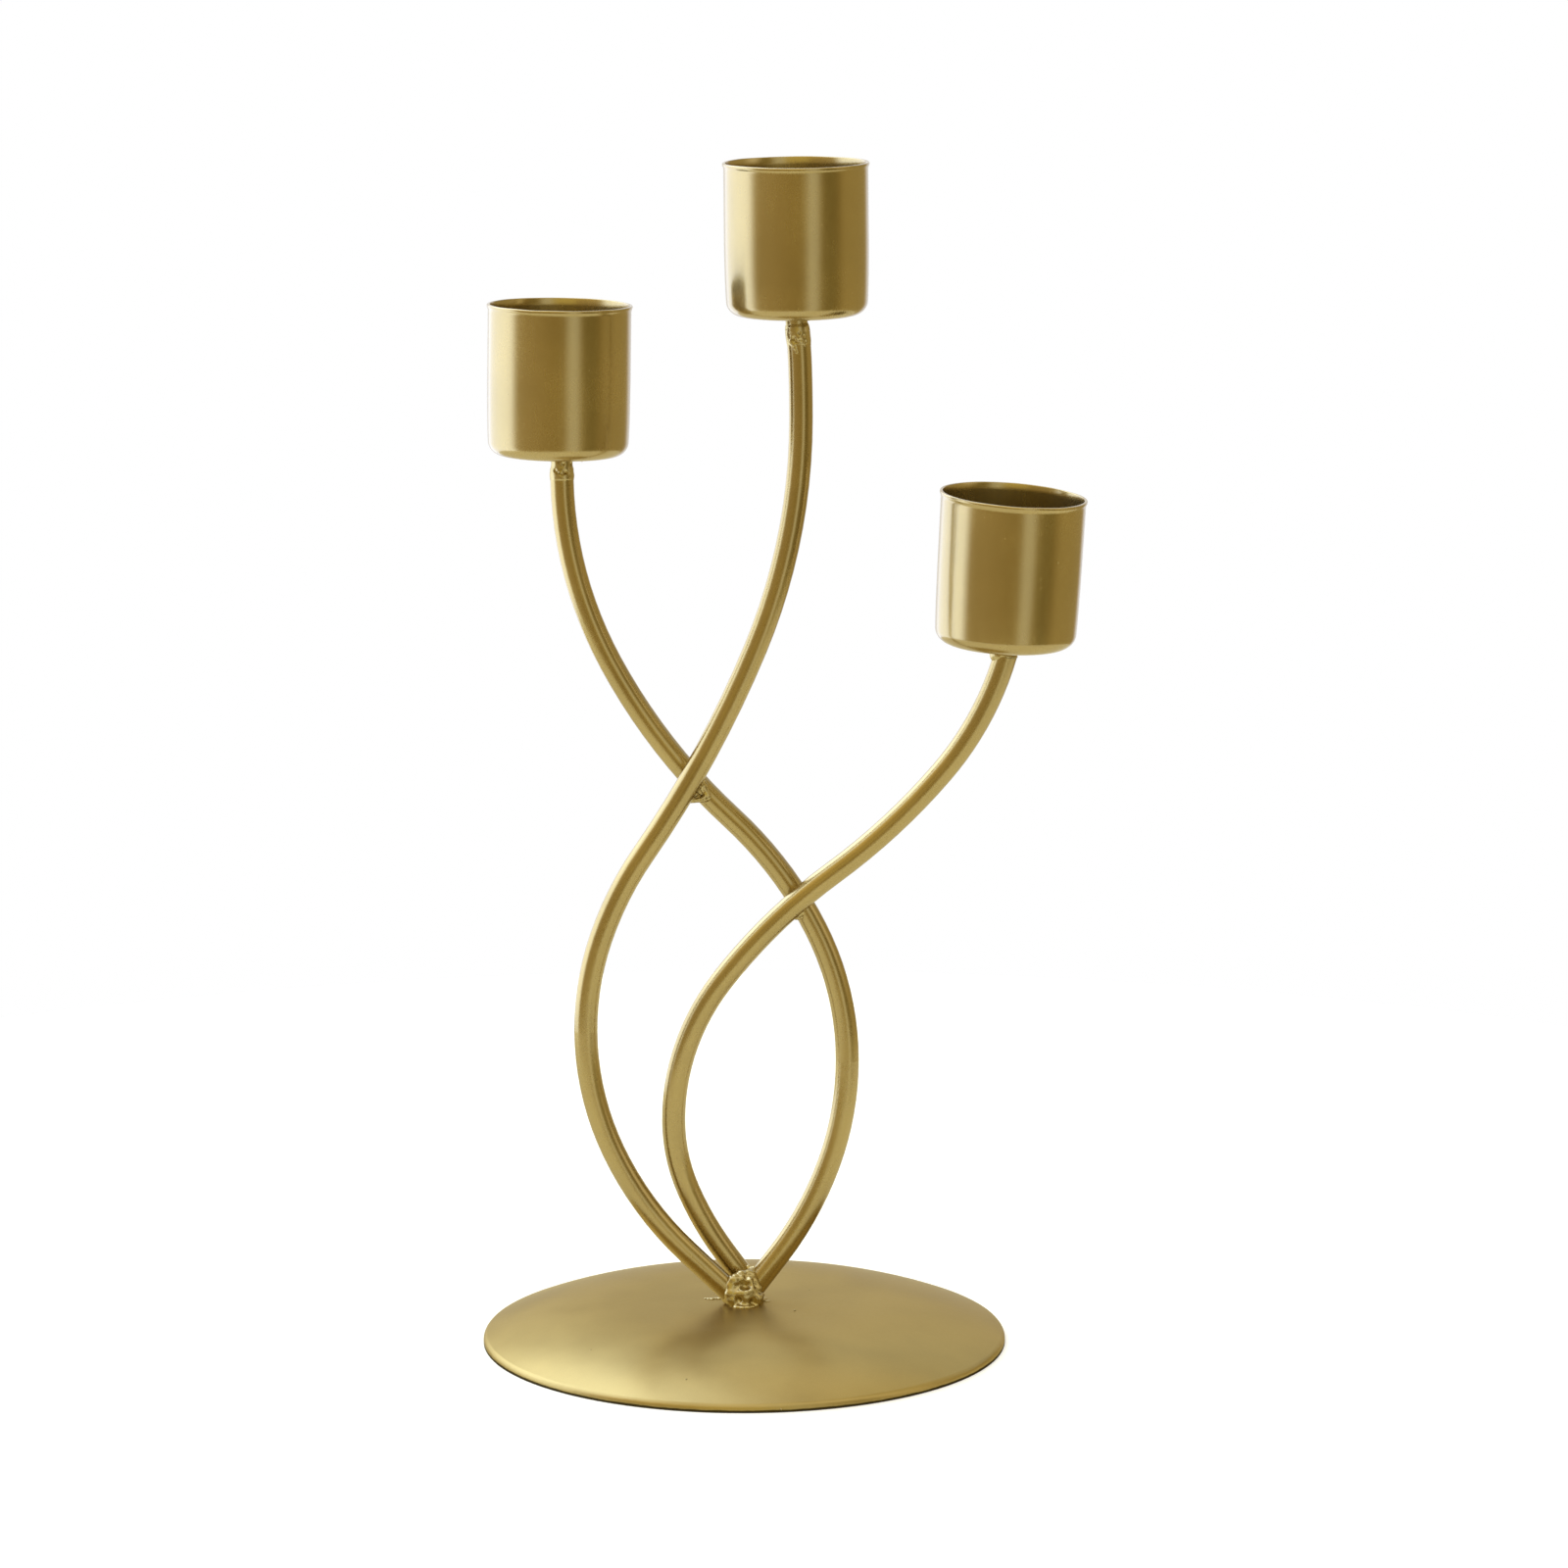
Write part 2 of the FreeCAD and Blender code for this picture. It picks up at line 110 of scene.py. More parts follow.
class CupSettings(bpy.types.PropertyGroup):
    """Sizes of the drawn candle cups, which take their bore and place from the frame."""

    height: FloatProperty(
        name="Height", description="From the underside to the mouth", unit="LENGTH", min=0,
        default=25.4 * MM,
    )
    wall: FloatProperty(
        name="Wall", description="Thickness of the sheet", unit="LENGTH", min=0, default=0.45 * MM,
    )
    draw_in: FloatProperty(
        name="Draw-in", description="How far the foot of the wall draws in", unit="LENGTH", min=0,
        default=0.35 * MM,
    )
    corner: FloatProperty(
        name="Corner", description="How far the rounding under the wall reaches", unit="LENGTH", min=0,
        default=2.2 * MM,
    )
    lip: FloatProperty(
        name="Lip", description="Height of the small turned-out lip", unit="LENGTH", min=0,
        default=0.9 * MM,
    )
    lip_proud: FloatProperty(
        name="Lip stands proud", description="How far the lip stands out from the wall",
        unit="LENGTH", min=0, default=0.22 * MM,
    )
    oval: FloatProperty(
        name="Out of round", description="How far the mouth is pressed out of round",
        unit="LENGTH", min=0, default=0.1 * MM,
    )
    dents: FloatProperty(
        name="Unevenness", description="Depth of the shallow unevenness in the wall",
        unit="LENGTH", min=0, default=0.035 * MM,
    )
    steps: IntProperty(name="Steps", description="Faces around a cup", min=24, max=360, default=160)


class WeldSettings(bpy.types.PropertyGroup):
    """The grain of the painted welds."""

    voxel: FloatProperty(
        name="Fineness", description="Size of the cells that fuse the beads", unit="LENGTH", min=0.01 * MM,
        default=0.11 * MM,
    )
    ripple: FloatProperty(
        name="Ripple", description="Height of the lumps in the weld", unit="LENGTH", min=0,
        default=0.2 * MM,
    )
    pits: FloatProperty(
        name="Pits", description="Depth of the small pits", unit="LENGTH", min=0, default=0.3 * MM,
    )


class StudioSettings(bpy.types.PropertyGroup):
    """The camera, and the light of the window and room that the metal mirrors."""

    lens: FloatProperty(
        name="Focal length", description="Of a camera with a 36 mm sensor", unit="CAMERA", min=1,
        default=127.41,
    )
    eye: FloatVectorProperty(
        name="Camera", description="Where the camera stands", subtype="TRANSLATION", size=3,
        default=(6.845 * MM, -926.86 * MM, 264.77 * MM),
    )
    look_down: FloatProperty(
        name="Looks down", description="How far the camera looks down", subtype="ANGLE",
        default=math.radians(10.243),
    )
    window: FloatVectorProperty(
        name="Window", description="Light of the tall window behind on the left",
        subtype="COLOR", size=3, min=0, soft_max=4, default=(2.1, 2.35, 2.9),
    )
    room: FloatVectorProperty(
        name="Room", description="Light of the room left of the camera", subtype="COLOR", size=3,
        min=0, soft_max=4, default=(0.54, 0.42, 0.2),
    )
    floor_radius: FloatProperty(
        name="Floor", description="Radius of the pale table top", unit="LENGTH", min=0.1, default=0.3,
    )


# Materials


class Shading:
    """Adds nodes to a tree and joins them, from the texture to the shader."""

    def __init__(self, tree):
        self.nodes = tree.nodes
        self.links = tree.links
        self.nodes.clear()

    def add(self, kind, inputs=None, **settings):
        """A node with its settings made, and its inputs linked or set by name or number."""
        node = self.nodes.new(kind)
        for name, value in settings.items():
            setattr(node, name, value)
        for name, value in (inputs or {}).items():
            if isinstance(value, bpy.types.NodeSocket):
                self.links.new(value, node.inputs[name])
            else:
                node.inputs[name].default_value = value
        return node

    def math(self, operation, *values):
        """The result of one operation on one or two values."""
        return self.add("ShaderNodeMath", dict(enumerate(values)), operation=operation).outputs[0]

    def times(self, first, second):
        """The product of two values."""
        return self.math("MULTIPLY", first, second)

    def around(self, value, amount):
        """Noise from 0 to 1, made a change of up to half the amount either way."""
        return self.times(self.math("SUBTRACT", value, 0.5), amount)

    def smooth(self, value, low, high, to_low=0.0, to_high=1.0):
        """Goes smoothly from to_low to to_high as the value goes from low to high."""
        inputs = {"Value": value, "From Min": low, "From Max": high, "To Min": to_low, "To Max": to_high}
        return self.add("ShaderNodeMapRange", inputs, interpolation_type="SMOOTHSTEP").outputs["Result"]

    def noise(self, coordinates, size, detail=2.0, roughness=0.5):
        """Soft noise whose lumps have the given size, in metres."""
        inputs = {"Vector": coordinates, "Scale": 1 / size, "Detail": detail, "Roughness": roughness}
        return self.add("ShaderNodeTexNoise", inputs).outputs["Fac"]

    def cells(self, coordinates, size, channel):
        """Scattered cells of the given size: the distance from a cell's middle, and its own value."""
        cell = self.add("ShaderNodeTexVoronoi", {"Vector": coordinates, "Scale": 1 / size}, feature="F1")
        parts = self.add("ShaderNodeSeparateColor", {"Color": cell.outputs["Color"]})
        return cell.outputs["Distance"], parts.outputs[channel]

    def stretched(self, coordinates, scale):
        """Coordinates scaled along each axis, which draws a pattern out where the scale is small."""
        return self.add("ShaderNodeMapping", {"Vector": coordinates, "Scale": scale}).outputs["Vector"]

    def mix(self, factor, first, second):
        """A colour between two others."""
        inputs = {0: factor, 6: first, 7: second}
        return self.add("ShaderNodeMix", inputs, data_type="RGBA").outputs[2]

    def mix_shaders(self, factor, first, second):
        """A surface or a light between two others."""
        return self.add("ShaderNodeMixShader", {0: factor, 1: first, 2: second}).outputs[0]

    def bump(self, height, distance, normal=None):
        """Relief of the given height, laid over other relief where there is some."""
        inputs = {"Height": height, "Distance": distance, "Strength": 1.0}
        if normal is not None:
            inputs["Normal"] = normal
        return self.add("ShaderNodeBump", inputs).outputs["Normal"]

    def seen_and_mirrored(self):
        """Rays that see the scene straight from the camera, and rays that mirror it in metal."""
        rays = self.add("ShaderNodeLightPath").outputs
        seen = self.math("MAXIMUM", rays["Is Camera Ray"], rays["Is Transmission Ray"])
        return seen, rays["Is Glossy Ray"]


# Across, in the paint: clouds of thicker and thinner paint, metal flake, the space between nibs
# of dust, the sprayed skin, unevenness of the gloss, lines of polishing, and the ragged upper
# border of the painted shade at the foot of the brim
CLOUD, FLAKE, NIB_SPACE, SKIN = 14 * MM, 0.16 * MM, 7 * MM, 1.3 * MM
GLOSS, POLISH, RAGGED = 0.8 * MM, 0.7 * MM, 2.5 * MM
# Relief of the skin, the flake and the nibs, and how far the ragged border wanders
SKIN_RELIEF, FLAKE_RELIEF, NIB_RELIEF, WANDER = 0.0022 * MM, 0.0007 * MM, 0.05 * MM, 0.25 * MM


def shade(colour, factor):
    """A colour with its light multiplied, as a shader wants it."""
    return tuple(min(1.0, part * factor) for part in colour) + (1.0,)


def gold_paint(name, tone, roughness, coat, metal=1.0, streaks=0.0, brim_shade=0.0):
    """Gold paint: fine metal flake in lacquer, slightly cloudy, with small nibs of dust in it."""
    edge = bpy.context.scene.candelabra_gold.edge
    material = bpy.data.materials.new(name)
    material.use_nodes = True
    material.diffuse_color = shade(tone, 1.0)
    s = Shading(material.node_tree)
    place = s.add("ShaderNodeTexCoord").outputs["Object"]

    # Clouds of thicker and thinner paint, and the flake itself
    clouds = s.noise(place, CLOUD, 3.0)
    colour = s.mix(s.smooth(clouds, 0.3, 0.7), shade(tone, 0.94), shade(tone, 1.06))
    _, flake = s.cells(place, FLAKE, "Red")
    colour = s.mix(s.times(flake, 0.08), colour, shade(tone, 0.55))

    # Nibs of dust under the paint: few, small and dark around their foot
    distance, rare = s.cells(place, NIB_SPACE, "Green")
    nib = s.times(s.smooth(distance, 0.018, 0.034, 1.0, 0.0), s.smooth(rare, 0.62, 0.64))
    colour = s.mix(s.times(nib, 0.6), colour, shade(tone, 0.25))

    # Roughness: cloudy, and finely uneven from flake to flake
    cloudy = s.smooth(clouds, 0.25, 0.75, roughness - 0.025, roughness + 0.025)
    rough = s.math("ADD", cloudy, s.around(s.noise(place, GLOSS), 0.06))

    # Relief: the skin of sprayed paint, the flake, the nibs, and streaks left by polishing
    normal = s.bump(s.noise(place, SKIN), SKIN_RELIEF)
    normal = s.bump(flake, FLAKE_RELIEF, normal)
    normal = s.bump(nib, NIB_RELIEF, normal)
    if streaks:
        lines = s.noise(s.stretched(place, (1.0, 1.0, 0.05)), POLISH, 3.0, 0.6)
        normal = s.bump(lines, streaks, normal)
        rough = s.math("ADD", rough, s.around(lines, 0.1))

    if brim_shade:
        # Painted shade: the foot of the brim, where the sheet's cut edge is, is painted dark for the shade
        # in the gap under it, and its ragged upper border lets the gold show in places
        height = s.add("ShaderNodeSeparateXYZ", {"Vector": place}).outputs["Z"]
        ragged = s.math("ADD", height, s.around(s.noise(place, RAGGED, 3.0), WANDER))
        brim_shade_mask = s.smooth(ragged, brim_shade * 0.75, brim_shade * 1.1, 1.0, 0.0)
        colour = s.mix(brim_shade_mask, colour, shade(tone, 0.12))
        rough = s.math("ADD", rough, s.times(brim_shade_mask, 0.15))

    paint = s.add("ShaderNodeBsdfPrincipled", {
        "Base Color": colour, "Metallic": metal, "Roughness": rough, "Normal": normal,
        "Specular Tint": (*edge, 1.0), "IOR": 1.5, "Coat Weight": coat, "Coat Roughness": 0.14,
    })
    s.add("ShaderNodeOutputMaterial", {"Surface": paint.outputs["BSDF"]})
    return material


def dress(objects, material):
    """Gives pieces one material in all their slots."""
    for piece in objects:
        if not piece.material_slots:
            piece.data.materials.append(material)
        for held in piece.material_slots:
            held.material = material


def cad(*names):
    """The pieces of the frame with these names."""
    return [frame["nodes"][name] for name in names]


# Mesh tools


def finished(name, bm, slot, *stands_for):
    """Closes a bmesh into a smooth piece that rides with the candelabra."""
    bmesh.ops.remove_doubles(bm, verts=bm.verts, dist=MERGE)
    bmesh.ops.recalc_face_normals(bm, faces=bm.faces)
    for face in bm.faces:
        face.smooth = True
    mesh = bpy.data.meshes.new(name)
    bm.to_mesh(mesh)
    bm.free()
    piece = bpy.data.objects.new(name, mesh)
    bpy.context.scene.collection.objects.link(piece)
    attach(piece, "root")
    if stands_for:
        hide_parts(*stands_for)
    return piece


def chain(bm, points):
    """A line of edges through points of the upright plane, given as radius and height."""
    verts = [bm.verts.new((radius, 0, height)) for radius, height in points]
    for start, end in zip(verts, verts[1:]):
        bm.edges.new((start, end))
    return verts


def rounded(bm, vert, reach, segments):
    """Rounds one corner of a line of edges."""
    bmesh.ops.bevel(
        bm, geom=[vert], offset=reach, offset_type="OFFSET", segments=segments, profile=0.5,
        affect="VERTICES", material=-1,
    )


def spun(bm, steps):
    """Turns everything drawn so far once about the upright axis."""
    bmesh.ops.spin(
        bm, geom=bm.verts[:] + bm.edges[:], cent=(0, 0, 0), axis=UP, angle=math.tau, steps=steps,
        use_merge=True,
    )
    bmesh.ops.remove_doubles(bm, verts=bm.verts, dist=MERGE)


def ball(bm, centre, radius, squash=1.0, subdivisions=3):
    """A bead of weld, flattened upright by squash."""
    place = Matrix.Translation(centre) @ Matrix.Diagonal((1, 1, squash, 1))
    bmesh.ops.create_icosphere(bm, subdivisions=subdivisions, radius=radius, matrix=place)


def fused(bm, voxel):
    """The beads of a bmesh grown together into one closed skin."""
    mesh = bpy.data.meshes.new("beads")
    bm.to_mesh(mesh)
    bm.free()
    beads = bpy.data.objects.new("beads", mesh)
    bpy.context.scene.collection.objects.link(beads)
    remesh = beads.modifiers.new("Fuse", "REMESH")
    remesh.mode = "VOXEL"
    remesh.voxel_size = voxel
    skin = bpy.data.meshes.new_from_object(beads.evaluated_get(bpy.context.evaluated_depsgraph_get()))
    joined = bmesh.new()
    joined.from_mesh(skin)
    bpy.data.objects.remove(beads)
    bpy.data.meshes.remove(mesh)
    bpy.data.meshes.remove(skin)
    if not joined.faces:
        raise RuntimeError("The beads of weld didn't grow into a skin")
    return joined


def roughen(bm, lump, ripple, pits):
    """Ripples of the lump's size and finer in a weld's skin, with small pits between them."""
    bm.normal_update()
    moves = []
    for vert in bm.verts:
        place = vert.co / lump
        broad = noise.noise(place)
        # Noise 2.7 times finer, taken elsewhere so that it doesn't follow the broad noise
        fine = noise.noise(place * 2.7 + Vector((3.1, 5.7, 1.3)))
        # A pit is as wide as 0.3 of the space between them
        nearest = noise.voronoi(place * 0.8)[0][0]
        pit = max(0.0, 1 - nearest / 0.3) ** 1.5
        moves.append(vert.normal * (ripple * (broad + 0.45 * fine) - pits * pit))
    for vert, move in zip(bm.verts, moves):
        vert.co += move
    settled(bm, 2)


def settled(bm, times):
    """Evens out a skin."""
    for _ in range(times):
        bmesh.ops.smooth_vert(
            bm, verts=bm.verts, factor=0.5, use_axis_x=True, use_axis_y=True, use_axis_z=True,
        )


def hollow(bm, centre, radius, depth):
    """Presses a round hollow straight into a skin."""
    bm.normal_update()
    near = [vert for vert in bm.verts if (vert.co - centre).length < radius]
    inwards = -sum((vert.normal for vert in near), Vector()).normalized()
    for vert in near:
        share = (vert.co - centre).length / radius
        vert.co += inwards * (depth * (1 - share * share) ** 2)


def core_of(bm, node):
    """Adds a merged copy of a CAD weld to the beads that are to grow over it."""
    bm.from_mesh(frame["nodes"][node].data)
    bmesh.ops.remove_doubles(bm, verts=bm.verts, dist=MERGE)


def on_crown(across, away, up=0.0):
    """A place given in millimetres from the middle of the base's crown."""
    return Vector((across * MM, away * MM, CROWN + up * MM))


def in_frame(across, away, up):
    """A place given in millimetres in the frame."""
    return Vector((across, away, up)) * MM


def add_beads(bm, place, rows):
    """Adds a bead for each row of a place and a radius."""
    for *spot, radius in rows:
        ball(bm, place(*spot), radius * MM)


def add_hollows(bm, place, rows):
    """Presses a hollow for each row of a place, a radius and a depth."""
    for *spot, radius, depth in rows:
        hollow(bm, place(*spot), radius * MM, depth * MM)


# Base


class CANDELABRA_OT_base(bpy.types.Operator):
    """Sprays the pressed base in satin gold and paints dark shade at the foot of its brim"""

    bl_idname = "candelabra.base"
    bl_label = "Base"

    def execute(self, context):
        gold = context.scene.candelabra_gold
        # The dark band at the foot of the brim is painted shade
        paint = gold_paint(
            "sprayed_base", gold.gold, gold.base_roughness, coat=0.0, metal=0.84, brim_shade=gold.brim_shade_height,
        )
        dress(cad("base_plate"), paint)
        return {"FINISHED"}


# Wires


class CANDELABRA_OT_wires(bpy.types.Operator):
    """Paints the three bent wires"""

    bl_idname = "candelabra.wires"
    bl_label = "Wires"

    def execute(self, context):
        gold = context.scene.candelabra_gold
        paint = gold_paint("painted_wire", gold.gold, gold.wire_roughness, coat=0.8)
        dress(cad("left_arm", "centre_arm", "right_arm"), paint)
        return {"FINISHED"}


# Candle cups


# How each cup was pressed by hand: the bearing in radians that turns its unevenness, and how far
# its mouth slants down to the right
PRESSED = {"left": (0.3, 0.0), "centre": (1.4, 0.0), "right": (2.4, 0.3 * MM)}
# Roundings of a cup's section: the number of a point along it, the reach in millimetres and steps
ROUNDINGS = (
    (2, 2.5, 4), (3, 2.5, 4), (9, 2.5, 4), (10, 2.5, 4),
    (4, 0.3, 5), (5, 0.15, 5), (6, 0.24, 5), (7, 0.12, 5), (8, 0.4, 5),
)
# Across the unevenness in a wall and along a lip, and how far the lip rises and falls
DENT_SIZE, WAVE_SIZE, WAVE = 7 * MM, 5 * MM, 0.06 * MM
# The distance from a cup's axis at which its mouth has its full slant
SLANT_AT = 12 * MM


def cup_places():
    """Each cup's name, its bore's radius and straight length, and the matrix that stands it up."""
    height = bpy.context.scene.candelabra_cups.height
    found = {}
    for mount in frame["record"]["mounts"]:
        if mount["kind"] != "bore":
            continue
        axis = Vector(mount["axis"]).normalized()
        straight = mount["dims"]["length_mm"] * MM
        foot = Vector(mount["pos_m"]) - axis * (height - straight / 2)
        place = Matrix.Translation(foot) @ UP.rotation_difference(axis).to_matrix().to_4x4()
        found[mount["name"].split("_")[0]] = (mount["dims"]["r_mm"] * MM, straight, place)
    if set(found) != set(PRESSED):
        raise RuntimeError("The frame needs one bore for each of the three cups")
    return found


def cup_profile(bm, bore, straight):
    """Half the section of a cup: up the outside, over the lip and down the inside."""
    cups = bpy.context.scene.candelabra_cups
    outside = bore + cups.wall
    shoulder = cups.height - straight
    draw = cups.draw_in
    # The wall has drawn in by about a third where it is at four tenths of the drawn height
    waist = shoulder * 0.4
    waist_draw = draw * 0.36
    verts = chain(bm, [
        (0, 0),
        (outside - draw, 0),
        (outside - waist_draw, waist),
        (outside, shoulder),
        (outside, cups.height - cups.lip),
        (outside + cups.lip_proud, cups.height - cups.lip * 0.45),
        (outside + cups.lip_proud, cups.height),
        (bore + cups.lip_proud * 0.8, cups.height),
        (bore, cups.height - cups.lip),
        (bore, shoulder),
        (bore - waist_draw, waist),
        (bore - draw, cups.wall),
        (0, cups.wall),
    ])
    rounded(bm, verts[1], cups.corner, 10)
    rounded(bm, verts[11], cups.corner - cups.wall, 8)
    for number, reach, steps in ROUNDINGS:
        rounded(bm, verts[number], reach * MM, steps)


def hand_pressed(bm, turn, slant):
    """Presses the mouth slightly out of round and out of square, and the wall slightly uneven."""
    cups = bpy.context.scene.candelabra_cups
    for vert in bm.verts:
        bearing = math.atan2(vert.co.y, vert.co.x)
        rise = vert.co.z / cups.height
        outward = Vector((vert.co.x, vert.co.y, 0))
        if outward.length < MM:
            continue
        oval = cups.oval * rise * rise * math.sin(2 * (bearing - turn))
        # Unevenness is longer up the wall than around it, and differs from cup to cup by its turn
        drawn_out = Vector((vert.co.x, vert.co.y, vert.co.z * 0.7))
        uneven = cups.dents * noise.noise(drawn_out / DENT_SIZE + UP * turn)
        lip = WAVE * noise.noise(outward / WAVE_SIZE + UP * (turn + 4)) * rise ** 8
        vert.co += outward.normalized() * (oval + uneven)
        vert.co.z += lip - slant * vert.co.x / SLANT_AT * rise ** 3


class CANDELABRA_OT_cups(bpy.types.Operator):
    """Draws the three candle cups with their turned-out lips"""

    bl_idname = "candelabra.cups"
    bl_label = "Candle cups"

    def execute(self, context):
        gold = context.scene.candelabra_gold
        cups = context.scene.candelabra_cups
        paint = gold_paint(
            "polished_cup", gold.gold, gold.cup_roughness, coat=1.0, metal=0.88, streaks=0.002 * MM,
        )
        for side, (bore, straight, place) in cup_places().items():
            bm = bmesh.new()
            cup_profile(bm, bore, straight)
            spun(bm, cups.steps)
            hand_pressed(bm, *PRESSED[side])
            bmesh.ops.transform(bm, matrix=place, verts=bm.verts)
            piece = finished(side + "_candle_cup", bm, "cup_gold", side + "_cup")
            dress([piece], paint)
        return {"FINISHED"}


# Welds


def weld_paint():
    """The paint of the welds, made once for all of them."""
    found = bpy.data.materials.get("painted_weld")
    if found:
        return found
    gold = bpy.context.scene.candelabra_gold
    # Its paler tone is painted sheen of the window that the lumps mirror
    return gold_paint("painted_weld", gold.weld, gold.weld_roughness, coat=0.4)


# Lumps of the foot weld: across, away and up from the middle of the base's crown, and radius, in
# millimetres.  First the filling under the wires, then the lumps around it.
FOOT_LUMPS = (
    (0.0, 0.0, 1.5, 2.9), (-0.2, -1.7, 1.2, 2.6), (0.2, 1.8, 1.6, 2.6),
    (-1.7, -2.9, 4.2, 1.25), (-2.2, -2.9, 3.2, 1.4), (-2.1, -3.3, 2.1, 1.5), (-1.9, -3.5, 1.1, 1.5),
    (-2.9, -2.5, 2.5, 1.2), (-2.8, -2.5, 1.2, 1.25),
    (-0.6, -2.0, 4.6, 1.25), (0.6, -1.3, 4.7, 1.1), (1.3, -1.3, 4.7, 0.85),
    (-0.4, -2.9, 4.4, 0.9), (0.7, -2.9, 4.0, 0.9), (1.0, -3.2, 3.3, 0.85),
    (-0.9, -4.0, 2.2, 0.95), (-0.2, -4.1, 2.3, 0.9), (0.5, -4.0, 2.45, 0.9), (1.15, -3.7, 2.7, 0.8),
    (1.8, -2.9, 1.1, 1.4), (1.9, -1.9, 2.6, 1.2), (1.4, -1.8, 3.8, 1.15), (2.3, -1.4, 1.0, 1.1),
    (1.2, -0.2, 5.0, 0.75), (1.7, 0.6, 5.4, 0.6), (0.6, 1.0, 5.5, 0.6),
    (3.1, -0.6, 1.1, 0.5), (-2.9, 1.2, 0.9, 0.8), (1.2, 2.9, 2.2, 1.0), (-1.0, 3.0, 1.6, 1.1),
)
# Lumps along its edge on the base: across, away and radius
FOOT_TOE = (
    (-2.9, -2.0, 0.55), (-2.4, -3.1, 0.6), (-1.9, -4.2, 0.6), (-1.2, -4.9, 0.6), (-0.3, -5.2, 0.6),
    (0.6, -5.1, 0.6), (1.4, -4.6, 0.55), (2.1, -3.8, 0.5), (2.7, -2.8, 0.5), (3.0, -1.6, 0.45),
    (3.2, -0.3, 0.5), (3.0, 1.2, 0.5), (2.6, 2.6, 0.6), (1.5, 3.9, 0.6), (0.1, 4.3, 0.6),
    (-1.4, 3.9, 0.6), (-2.5, 2.8, 0.6), (-3.1, 1.2, 0.5), (-3.2, -0.4, 0.5),
)
# Hollows in its skin: across, away, up, radius and depth
FOOT_HOLLOWS = (
    (0.3, -3.9, 3.6, 1.4, 0.8), (-0.9, -4.7, 1.3, 0.9, 0.7), (1.4, -4.3, 0.9, 1.0, 0.7),
    (0.5, -3.2, 5.0, 0.8, 0.4), (2.3, -3.0, 2.0, 0.8, 0.35), (1.6, -3.1, 3.4, 0.7, 0.3),
)
# Drops of weld beside it: across, away and radius.  A smear runs off to the left.
FOOT_DROPS = (
    (-4.3, 1.0, 0.62), (-4.9, 0.9, 0.5), (-5.5, 0.7, 0.5), (-6.1, 0.8, 0.42), (-6.7, 1.0, 0.3),
    (3.8, -0.9, 0.42), (4.3, -0.7, 0.3), (3.5, 0.9, 0.5), (8.7, -6.6, 0.24),
)
# A nib on the front of the brim: across, away and up in the frame, and radius
BRIM_NIB = (6.4, -44.62, 0.55, 0.17)
# A nib on the right cup: across and away in shares of the cup's outer radius, up from its
# underside, and radius
CUP_NIB = (0.62, -0.785, 16, 0.2)


class CANDELABRA_OT_foot_weld(bpy.types.Operator):
    """Melts the beads of the foot weld together, with its toe and the spatter beside it"""

    bl_idname = "candelabra.foot_weld"
    bl_label = "Foot weld"

    def execute(self, context):
        welds = context.scene.candelabra_welds
        bm = bmesh.new()
        core_of(bm, "base_weld")
        add_beads(bm, on_crown, FOOT_LUMPS)
        for across, away, radius in FOOT_TOE:
            ball(bm, on_crown(across, away), radius * MM, squash=0.9)
        bm = fused(bm, welds.voxel)
        settled(bm, 12)
        add_hollows(bm, on_crown, FOOT_HOLLOWS)
        roughen(bm, lump=2.2 * MM, ripple=welds.ripple * 0.45, pits=welds.pits * 0.15)
        settled(bm, 6)
        dress([finished("foot_weld", bm, "weld_gold", "base_weld")], weld_paint())
        self.spatter(context)
        return {"FINISHED"}

    def spatter(self, context):
        """Flattened drops of weld beside the foot, and a nib each on the brim and the right cup."""
        bm = bmesh.new()
        for across, away, radius in FOOT_DROPS:
            ball(bm, on_crown(across, away), radius * MM, squash=0.4, subdivisions=4)
        *spot, radius = BRIM_NIB
        ball(bm, in_frame(*spot), radius * MM, subdivisions=4)
        bore, _, place = cup_places()["right"]
        outside = bore + context.scene.candelabra_cups.wall
        across, away, up, radius = CUP_NIB
        ball(bm, place @ Vector((outside * across, outside * away, up * MM)), radius * MM, subdivisions=4)
        bm = fused(bm, context.scene.candelabra_welds.voxel * 0.6)
        roughen(bm, lump=0.6 * MM, ripple=0.03 * MM, pits=0.0)
        dress([finished("weld_spatter", bm, "weld_gold")], weld_paint())


# Pits in the cup welds: across, away and up in the frame, radius and depth, in millimetres
NECK_PITS = {
    "left": (
        (-31.8, 2.6, 150.5, 0.45, 0.3), (-31.4, 2.4, 150.2, 0.35, 0.25), (-30.5, 2.5, 149.9, 0.45, 0.3),
        (-30.0, 2.5, 150.2, 0.5, 0.35), (-31.2, 2.5, 152.0, 0.4, 0.2), (-29.7, 2.7, 148.6, 0.4, 0.2),
        (-32.6, 3.9, 152.2, 0.45, 0.35), (-29.0, 3.5, 151.5, 0.45, 0.35), (-30.3, 2.5, 151.6, 0.35, 0.2),
    ),
    "centre": (
        (8.5, -2.6, 173.3, 0.5, 0.3), (8.9, -2.6, 172.9, 0.45, 0.3), (10.1, -2.6, 173.7, 0.4, 0.25),
        (9.6, -2.6, 173.0, 0.35, 0.2), (10.4, -2.4, 172.8, 0.4, 0.2), (9.4, -2.6, 174.2, 0.4, 0.2),
        (7.5, -1.4, 174.6, 0.5, 0.35), (11.2, -1.2, 174.9, 0.5, 0.3),
    ),
    "right": ((42.6, -6.3, 117.6, 0.5, 0.3), (41.6, -6.2, 119.2, 0.4, 0.2)),
}
# The radius of the balls that build a collar, and their heights over the end of the wire
COLLAR = 2.03 * MM
NECK_RISES = {"left": (0, 0.7, 1.4), "centre": (0, 0.6), "right": (0,)}
